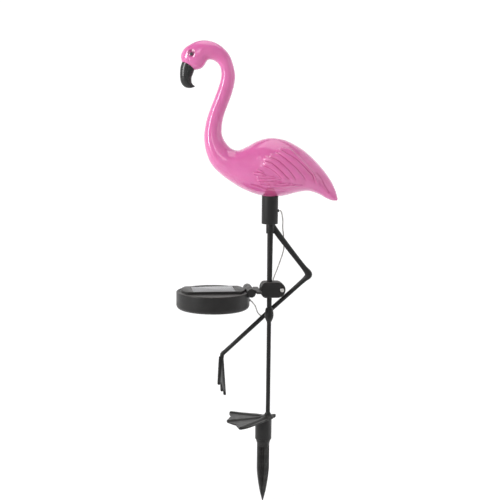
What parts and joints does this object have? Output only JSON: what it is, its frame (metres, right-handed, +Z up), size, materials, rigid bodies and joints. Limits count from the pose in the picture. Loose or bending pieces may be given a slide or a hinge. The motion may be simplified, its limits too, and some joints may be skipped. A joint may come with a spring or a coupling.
{
  "type": "solar flamingo garden light",
  "caption": "Translucent pink flamingo garden ornament lit from inside, on one black leg with a ground stake and a tilting round solar panel clamped to the leg.",
  "frame": {"origin": "on the standing leg's axis at the ground line, which is the underside of the webbed foot; the ferrule and stake are below it", "axes": "+Z up along the standing leg; the flamingo looks along -X and its left side faces -Y"},
  "size_m": [0.1881, 0.0862, 0.5488],
  "materials": {
    "shell": "glossy translucent pink blow-moulded plastic",
    "beak": "black paint, satin",
    "black_legs": "black moulded plastic, satin",
    "black_fittings": "black moulded plastic, fine matt grain",
    "top_plate": "black moulded plastic, smooth",
    "cell": "clear resin over a dark solar cell",
    "screw": "bright zinc-plated steel",
    "cable": "thin clear flexible cable jacket"
  },
  "bodies": {
    "root": {"flamingo_shell": "shell", "beak": "beak", "lamp_socket": "black_fittings", "upper_leg": "black_legs", "lower_leg_and_foot": "black_legs", "raised_leg": "black_legs", "ground_stake": "black_legs", "clamp_bracket": "black_fittings", "clamp_plate": "black_fittings", "clamp_screw": "screw", "lamp_cable": "cable", "panel_cable": "cable"},
    "panel": {"panel_housing": "black_fittings", "panel_top_plate": "top_plate", "solar_cell": "cell"}
  },
  "joints": [
    {"name": "panel_tilt", "type": "hinge", "parent": "root", "child": "panel", "pos_m": [-0.02378, -0.00322, 0.1561], "axis": [-0.134, 0.991, 0], "range_deg": [-45, 50], "deforming": ["panel_cable"]}
  ]
}
